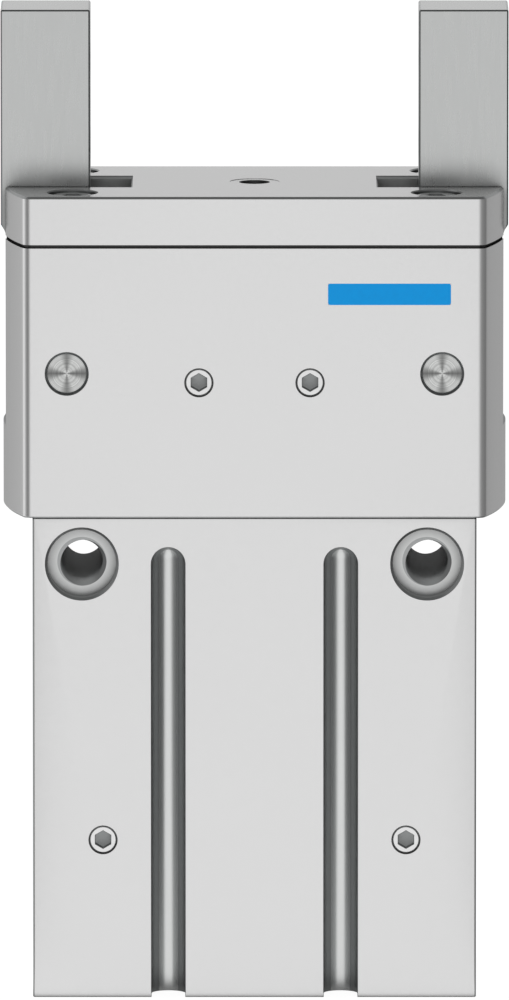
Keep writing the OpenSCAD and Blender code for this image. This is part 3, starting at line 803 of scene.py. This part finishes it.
def housing_cutters():
    """The cutters for everything in the housing, and the linings of its tapped holes."""
    seat = place(bore("seat_cutter", BORE_SEAT_R, CAP_SEAT_DEPTH, mouth=0.3), UPSIDE_DOWN)
    cutters = head_cavity() + [seat, channel_mouth(), marking_pocket()]
    threads = []
    groove_x = mount_at("right_front_sensor_groove").x
    for side in (-1, 1):
        cutters += [sensor_groove(side * groove_x, towards) for towards in (-1, 1)]
        cutters += [pin_hole(side, towards) for towards in (-1, 1)]
        cutters.append(mounting_hole(side))
        cutters.append(plug_bore("purge_plugs", side, HEAD_HALF_D))
        cutters.append(plug_bore("port_plugs", side, BODY_HALF_D))
        threads.append(mounting_thread(side))
        for tapped in (air_port, base_hole):
            hole_cutters, thread = tapped(side)
            cutters += hole_cutters
            threads.append(thread)
    return cutters, threads


def build_housing():
    """One block: the cylinder body and the wider head on top of it."""
    rim = 0.1
    neck = 0.3               # depth of the relief under the head
    overlap = 1              # of the body into the head
    # The SEAM bands here and on the head carry a painted shadow in the reliefs.
    body = stack("housing_shell", body_outline, [
        (0, rim), (rim, 0), (BODY_H - BODY_RELIEF, 0), (BODY_H - BODY_RELIEF, neck),
        (BODY_H + overlap, neck)
    ], [EDGE, FACE, SEAM, SEAM])
    head = stack("head_block", head_outline, [
        (BODY_H, CHAMFER), (BODY_H + CHAMFER, 0), (HEAD_TOP - HEAD_RELIEF, 0),
        (HEAD_TOP - HEAD_RELIEF, RELIEF_DEPTH), (HEAD_TOP, RELIEF_DEPTH)
    ], [EDGE, FACE, SEAM, SEAM])
    mark_corners(body)
    boolean(body, [head], "UNION")
    cutters, threads = housing_cutters()
    boolean(body, cutters)
    piece = join("housing_block", [body] + threads)
    finish_piece(piece, "housing", HOUSING_SET, ["housing"])


# ---- Cover ----

def slot_mouth(side):
    """A cutter for one finger slot in the cover, a little wider above a steep chamfer."""
    wider = SLOT_CHAMFER / 2
    levels = [(HEAD_TOP - OVER, 0), (COVER_TOP - SLOT_CHAMFER, 0), (COVER_TOP - SLOT_LIP, wider),
              (COVER_TOP + OVER, wider)]
    far = HEAD_HALF_W + OVER
    rings = []
    for z, grow in levels:
        outline = rectangle(SLOT_START - grow, far, -SLOT_HALF_W - grow, SLOT_HALF_W + grow)
        rings.append([(side * x, y, z) for x, y in outline])
    return skin("slot_mouth_cutter", rings, [RECESS, EDGE, BORE], cap=BORE)


def build_cover():
    """The plate on the head, with its finger slots, screw holes and tapped centre hole."""
    # The SEAM bands carry a painted shadow in the relief above the joint.
    cover = stack("cover_shell", head_outline, [
        (HEAD_TOP, RELIEF_DEPTH), (HEAD_TOP + COVER_RELIEF, RELIEF_DEPTH), (HEAD_TOP + COVER_RELIEF, 0),
        (COVER_TOP - COVER_CHAMFER, 0), (COVER_TOP, COVER_CHAMFER)
    ], [SEAM, SEAM, FACE, EDGE])
    spot = turned("spot_cutter", [(0, OVER), (SPOT_R, OVER), (SPOT_R, -SPOT_DEPTH), (0, -SPOT_DEPTH)])
    thread_l = COVER_TOP - HEAD_TOP - SPOT_DEPTH
    hole, thread = tapped_hole(mount_size("cover_centre_thread", "r_mm"), M6_PITCH, thread_l + OVER,
                               thread_l, mouth=0.03)
    at_top = Matrix.Translation((0, 0, COVER_TOP))
    at_spot = Matrix.Translation((0, 0, COVER_TOP - SPOT_DEPTH))
    cutters = [slot_mouth(-1), slot_mouth(1), place(spot, at_top), place(hole, at_spot)]
    for x in (-SCREW_X, SCREW_X):
        for y in (-SCREW_Y, SCREW_Y):
            cutters.append(place(screw_seat(), Matrix.Translation((x, y, COVER_TOP))))
    boolean(cover, cutters)
    piece = join("cover_block", [cover, place(thread, at_spot)])
    finish_piece(piece, "housing", COVER_SET, ["cover_plate"])


# ---- Fasteners, pins and plugs ----

def hexagon(step, steps, across_flats):
    """Radius of a hexagon with a corner at angle zero, at one of the evenly spaced steps."""
    angle = (2 * math.pi * step / steps) % (math.pi / 3)
    return across_flats / 2 / math.cos(angle - math.pi / 6)


def hex_socket(across_flats, depth):
    """A cutter for a hexagon socket below z = 0, with a fine chamfer and a drill point."""
    steps = 48
    mouth = 0.09
    point = 0.3
    flat = across_flats / 2

    def ring_r(_, radius, step):
        return hexagon(step, steps, 2 * radius)

    profile = [(0, OVER), (flat + mouth, OVER), (flat + mouth, 0), (flat, -mouth), (flat, -depth),
               (0, -depth - point)]
    bands = [FACE, FACE, BORE, BORE, EDGE]
    return turned("socket_cutter", profile, bands, steps=steps, ring_r=ring_r)


def cap_screw(x, y):
    """A socket-head cap screw with a knurled head and a crowned rim."""
    seat = COVER_TOP - SCREW_SINK_DEPTH
    shank_r = 2
    shank_l = 12
    head_r = 3.5
    head_h = 4
    crown = 0.5
    knurls = 36
    knurl_depth = 0.12
    knurled = (5, 6)         # the profile's points on the head's wall

    def ring_r(index, radius, step):
        return radius - (knurl_depth if index in knurled and step % 2 else 0)

    profile = [(0, -shank_l), (shank_r - 0.3, -shank_l), (shank_r, 0.4 - shank_l), (shank_r, 0),
               (head_r - 0.2, 0), (head_r, 0.2), (head_r, head_h - crown),
               (head_r - 0.15, head_h - 0.15), (head_r - 0.45, head_h), (0, head_h)]
    screw = turned("cap_screw", profile, [FACE] * 7 + [EDGE, FACE], steps=2 * knurls, ring_r=ring_r)
    boolean(screw, [place(hex_socket(3, 2.2), Matrix.Translation((0, 0, head_h)))])
    return place(screw, Matrix.Translation((x, y, seat)))


def join(name, objects):
    """Gathers finished solids in one object, and keeps their material indices."""
    bm = bmesh.new()
    for obj in objects:
        bm.from_mesh(obj.data)
        bpy.data.objects.remove(obj)
    return object_from(bm, name)


def build_cover_screws():
    """The four screws that hold the cover."""
    screws = [cap_screw(x, y) for x in (-SCREW_X, SCREW_X) for y in (-SCREW_Y, SCREW_Y)]
    piece = join("cover_cap_screws", screws)
    # The sockets take a darker colour, as painted shade.
    finish_piece(piece, "housing", [SCREW_STEEL, SCREW_STEEL, PLUG_RIM],
                 ["cover_screws"])


def build_pin(side):
    """A pivot pin whose end faces keep the fine rings that the turning tool left."""
    half_l = PIN_HIGH.y
    chamfer = 0.35
    face_r = PIN_R - chamfer
    rings = 30
    depth = 0.008
    face = [(face_r * i / rings, half_l - (depth if i % 2 else 0)) for i in range(rings + 1)]
    profile = face + [(PIN_R, half_l - chamfer), (PIN_R, chamfer - half_l)]
    profile += [(r, -z) for r, z in reversed(face)]
    bands = [FACE] * rings + [EDGE, FACE, EDGE] + [FACE] * rings
    pin = turned(SIDE_NAME[side] + "_turned_pin", profile, bands)
    place(pin, along_y(side * RIGHT_PIVOT.x, RIGHT_PIVOT.z))
    node = SIDE_NAME[side] + "_pivot_pin"
    finish_piece(pin, "housing", [PIN_FACE, PIN_EDGE], [node], sharp=20)


def grub_screw(node, side):
    """A grub screw with a hexagon socket, its rim rounded over where the thread starts."""
    low, high = node_box(node)
    radius = (high.z - low.z) / 2
    length = high.y - low.y
    point = 0.5
    rim = 0.3
    profile = [(0, -length), (radius - point, -length), (radius, point - length), (radius, -rim),
               (radius - rim, 0), (0, 0)]
    screw = turned("grub_screw", profile, [FACE, BORE, BORE, FACE, FACE], steps=60)
    socket = place(hex_socket(2.5, 1.7), Matrix.Rotation(math.radians(30), 4, "Z"))
    boolean(screw, [socket])
    return place(screw, along_y(side * plug_x(node), (high.z + low.z) / 2, low.y))


def build_plugs(node, name):
    """A pair of grub screws as one piece."""
    piece = join(name, [grub_screw(node, side) for side in (-1, 1)])
    finish_piece(piece, "housing", [PLUG_STEEL, PLUG_SOCKET, PLUG_RIM], [node])


def build_marking():
    """The plain blue bar, with softened corners."""
    low, high = node_box("marking_bar")
    radius = 0.4
    x = (high.x - low.x) / 2 - radius
    z = (high.z - low.z) / 2 - radius
    outline = []
    for cx, cz, start in ((x, -z, -90), (x, z, 0), (-x, z, 90), (-x, -z, 180)):
        outline += arc((cx, cz), radius, start, start + 90, 5)
    middle = (low + high) / 2
    rim = 0.03
    bar = extruded("blue_bar", outline, high.y - low.y, rim, (middle.x, middle.z))
    place(bar, Matrix.Translation((0, middle.y, 0)))
    blue = SLOT_LOOK["blue_inlay"]
    finish_piece(bar, "housing", [blue, blue], ["marking_bar"])


# ---- Fingers ----

def tooth_half_angle(radius, pitch_r, base_r):
    """Half the angle that an involute tooth fills at a radius."""
    def involute(angle):
        return math.tan(angle) - angle

    outer = involute(math.acos(base_r / radius)) if radius > base_r else 0
    return TOOTH_THICKNESS / (2 * pitch_r) + involute(PRESSURE_ANGLE) - outer


def sector_outline():
    """The toothed sector about the pivot, from just above the line of centres round to the foot."""
    pitch_r = GEAR_MODULE * GEAR_TEETH / 2
    base_r = pitch_r * math.cos(PRESSURE_ANGLE)
    tip_r = pitch_r + GEAR_MODULE
    root_r = pitch_r - 1.25 * GEAR_MODULE
    steps = 6
    radii = [root_r] + [base_r + (tip_r - base_r) * i / steps for i in range(steps + 1)]
    points = []
    for tooth in range(FIRST_TOOTH, LAST_TOOTH + 1):
        middle = math.pi + tooth * 2 * math.pi / GEAR_TEETH
        flank = [(r, tooth_half_angle(r, pitch_r, base_r)) for r in radii]
        for r, half in flank:
            points.append((r * math.cos(middle - half), r * math.sin(middle - half)))
        for r, half in reversed(flank):
            points.append((r * math.cos(middle + half), r * math.sin(middle + half)))
    last = math.degrees(math.atan2(points[-1][1], points[-1][0]))
    first = math.degrees(math.atan2(points[0][1], points[0][0]))
    return points + arc((0, 0), root_r, last, first, 24)[1:-1]


def blade_outline():
    """The blade and its rounded foot about the pivot. The sector fills in what it leaves out
    between the grip face and the foot."""
    grip = GRIP_X - RIGHT_PIVOT.x
    back = FINGER_HIGH.x - RIGHT_PIVOT.x
    top = FINGER_HIGH.z - RIGHT_PIVOT.z
    corner = 0.32
    dip = 0.01               # of the outline below the pivot
    points = [(grip, 0), (0, -dip)] + arc((0, 0), FOOT_R, FOOT_START, 0, 12)
    points += [(FOOT_R, TAPER_LOW - RIGHT_PIVOT.z), (back, TAPER_HIGH - RIGHT_PIVOT.z)]
    points += arc((back - corner, top - corner), corner, 0, 90, 4)
    points += arc((grip + corner, top - corner), corner, 90, 180, 4)
    return points


def bush_seat():
    """A cutter for the right finger's pivot bore, with a washer's recess at both ends."""
    half_t = FINGER_T / 2
    end = half_t + OVER
    floor = half_t - BUSH_RECESS_DEPTH
    seat = turned("bush_cutter", [
        (0, end), (BUSH_RECESS_R, end), (BUSH_RECESS_R, floor), (BUSH_R, floor),
        (BUSH_R, -floor), (BUSH_RECESS_R, -floor), (BUSH_RECESS_R, -end), (0, -end)
    ], [BORE] * 7)
    return place(seat, along_y(RIGHT_PIVOT.x, RIGHT_PIVOT.z))


def jaw_hole(recess_name):
    """A cutter for a tapped hole through the right finger's blade and for its recess, and the
    hole's thread."""
    outer_mouth = 0.2
    inner_mouth = 0.3
    plain = 0.4              # at both ends of the thread
    recess_r = mount_size(recess_name, "r_mm")
    recess_depth = mount_size(recess_name, "length_mm")
    hole_r = mount_size("right_finger_threads", "hole_r_mm")
    crest_r = hole_r - 0.54 * M5_PITCH
    through = FINGER_HIGH.x - GRIP_X
    hole = turned("jaw_cutter", [
        (0, OVER), (recess_r + outer_mouth, OVER), (recess_r + outer_mouth, 0),
        (recess_r, -outer_mouth), (recess_r, -recess_depth), (hole_r, -recess_depth),
        (hole_r, inner_mouth - through), (hole_r + inner_mouth, -through),
        (hole_r + inner_mouth, -through - OVER), (0, -through - OVER)
    ], [FACE, FACE, EDGE, BORE, FACE, BORE, EDGE, EDGE, EDGE])
    thread_l = through - recess_depth - 2 * plain
    thread = thread_sleeve("jaw_thread", hole_r, crest_r, M5_PITCH, thread_l, wall=EDGE)
    at_hole = along_x(0, mount_at(recess_name).z, FINGER_HIGH.x)
    at_thread = at_hole @ Matrix.Translation((0, 0, -recess_depth - plain))
    return place(hole, at_hole), place(thread, at_thread)


def mark_tip(finger):
    """Gives the blade's top its own, lighter material: a painted highlight."""
    for face in finger.data.polygons:
        if face.normal.z > 0.99 and face.center.z > FINGER_HIGH.z - 0.01:
            face.material_index = TIP


def build_finger(side):
    """A finger: its blade, rounded foot and toothed sector. The left one mirrors the right one."""
    node = SIDE_NAME[side] + "_finger"
    centre = (RIGHT_PIVOT.x, RIGHT_PIVOT.z)
    finger = extruded("finger_blank", blade_outline(), FINGER_T, CHAMFER, centre)
    sector = extruded("sector", sector_outline(), FINGER_T, 0, centre)
    boolean(finger, [sector], "UNION")
    lower_hole, lower_thread = jaw_hole("right_finger_lower_recess")
    upper_hole, upper_thread = jaw_hole("right_finger_upper_recess")
    boolean(finger, [bush_seat(), lower_hole, upper_hole])
    mark_tip(finger)
    finger = join(SIDE_NAME[side] + "_finger_lever", [finger, lower_thread, upper_thread])
    if side < 0:
        place(finger, Matrix.Scale(-1, 4, (1, 0, 0)))
        finger.data.flip_normals()
    finish_piece(finger, node, FINGER_SET, [node])


# ---- CAD nodes that keep their own shape ----

def dress_cad_nodes():
    """Gives every CAD node the look of its slot."""
    for node, obj in frame["nodes"].items():
        look = SLOT_LOOK[SLOT_OF[node]]
        for material_slot in obj.material_slots:
            material_slot.material = look
        if not obj.material_slots:
            obj.data.materials.append(look)


# ---- Studio ----

# Brightness by heading, in degrees from straight in front: left is negative, right is positive
WALLS = [(-180, 0.64), (-155, 0.60), (-126, 0.60), (-90, 0.60), (-65, 0.30), (-40, 0.24), (-15, 0.58),
         (0, 0.62), (15, 0.58), (40, 0.30), (65, 0.24), (90, 0.18), (122, 0.14), (140, 0.50), (180, 0.63)]
FLOOR = [(-180, 0.22), (-150, 0.30), (-130, 0.38), (-118, 0.75), (-92, 0.75), (-75, 0.34), (-58, 0.14),
         (-40, 0.08), (-30, 0.20), (-20, 0.46), (-9, 0.78), (7, 0.78), (20, 0.52), (33, 0.28),
         (47, 0.16), (60, 0.12), (90, 0.08), (122, 0.06), (140, 0.28), (180, 0.24)]
FLOOR_R = 30                 # in metres
FLOOR_SHADE_REACH = 0.003    # in metres, out from the gripper's footprint


def beyond_footprint(make, position):
    """How far a place on the floor lies outside the gripper's own footprint, along x and y."""
    footprint = (HEAD_HALF_W * MM, HEAD_HALF_D * MM, 0)
    outside = make.vector("SUBTRACT", make.vector("ABSOLUTE", position), footprint)
    outside = make.vector("MAXIMUM", outside, (0, 0, 0))
    return make.vector("MULTIPLY", outside, make.vector("SIGN", position))


def panel_colour(make, x, y, levels):
    """Brightness of the studio in the heading that x and y give."""
    heading = make.maths("ARCTAN2", x, make.maths("MULTIPLY", y, -1))
    share = make.spread(heading, 0, 1, -math.pi, math.pi)
    return make.ramp(share, [(0.5 + degrees / 360, grey(level)) for degrees, level in levels])


def camera_switch(make, unseen, seen):
    """The brightness that the camera sees where it looks directly, and the other colour elsewhere."""
    path = make.nodes.new("ShaderNodeLightPath")
    return make.mix(unseen, opaque(grey(seen)), factor=path.outputs["Is Camera Ray"])


def build_floor():
    """A large pale disc, bright enough to run into the background. It carries the light of the
    studio's walls on outwards, and a painted shadow makes it dimmer close to the gripper."""
    bm = bmesh.new()
    bmesh.ops.create_circle(bm, cap_ends=True, segments=128, radius=FLOOR_R)
    mesh = bpy.data.meshes.new("studio_floor")
    bm.to_mesh(mesh)
    bm.free()
    floor = bpy.data.objects.new("studio_floor", mesh)
    bpy.context.scene.collection.objects.link(floor)
    material, shader, make = node_material("studio_floor")
    outside = beyond_footprint(make, make.place())
    x, y, _ = make.split(outside)
    distance = make.nodes.new("ShaderNodeVectorMath")
    distance.operation = "LENGTH"
    make.feed(distance, {"Vector": outside})
    painted_shadow = make.spread(distance.outputs["Value"], 0.15, 1, 0, FLOOR_SHADE_REACH, smooth=True)
    dimmed = make.mix(panel_colour(make, x, y, FLOOR), painted_shadow, blend="MULTIPLY")
    make.feed(shader, {
        "Base Color": opaque(grey(0.35)), "Roughness": 0.9, "Specular IOR Level": 0.0,
        "Emission Color": camera_switch(make, dimmed, 0.92), "Emission Strength": 1.0
    })
    mesh.materials.append(material)


def build_world():
    """A soft studio: bright panels in front and at the sides, dim corners and a dim ceiling."""
    world = bpy.data.worlds.new("studio")
    bpy.context.scene.world = world
    world.use_nodes = True
    make = NodeMaker(world.node_tree)
    x, y, rise = make.split(make.place("Generated"))
    height = make.spread(rise, 0, 1, 0.72, 0.96, smooth=True)
    dome = make.mix(panel_colour(make, x, y, WALLS), opaque(grey(0.20)), factor=height)
    background = make.nodes["Background"]
    make.feed(background, {"Color": camera_switch(make, dome, 1.0), "Strength": 1.0})


def build_lights():
    """One large soft panel high in front, which only adds a gentle fall of light."""
    light = bpy.data.lights.new("front_panel", "AREA")
    light.shape = "RECTANGLE"
    light.size = 1.6
    light.size_y = 1.2
    light.energy = 1.5
    panel = bpy.data.objects.new("front_panel", light)
    panel.location = (-0.6, -1.8, 1.6)
    panel.rotation_euler = (Vector((0, 0, 0.08)) - panel.location).to_track_quat("-Z", "Y").to_euler()
    bpy.context.scene.collection.objects.link(panel)


def build_camera():
    """A long lens, square on to the front and looking down a little."""
    data = bpy.data.cameras.new("camera")
    data.lens = 722
    data.sensor_width = 36
    data.clip_start = 0.1
    data.clip_end = 100
    camera = bpy.data.objects.new("camera", data)
    pitch = math.radians(8.2)
    distance = 3.25
    aim = Vector((0, -HEAD_HALF_D * MM, 0.08173))
    camera.location = aim + distance * Vector((0, -math.cos(pitch), math.sin(pitch)))
    camera.rotation_euler = (math.pi / 2 - pitch, 0, 0)
    bpy.context.scene.collection.objects.link(camera)
    bpy.context.scene.camera = camera


def main():
    """Builds the studio, the pieces and their looks."""
    bpy.context.scene.view_settings.view_transform = "Standard"
    build_camera()
    build_world()
    build_lights()
    build_floor()
    dress_cad_nodes()
    build_housing()
    build_cover()
    build_cover_screws()
    build_plugs("purge_plugs", "purge_grub_screws")
    build_plugs("port_plugs", "port_grub_screws")
    build_marking()
    for side in (-1, 1):
        build_pin(side)
        build_finger(side)


main()
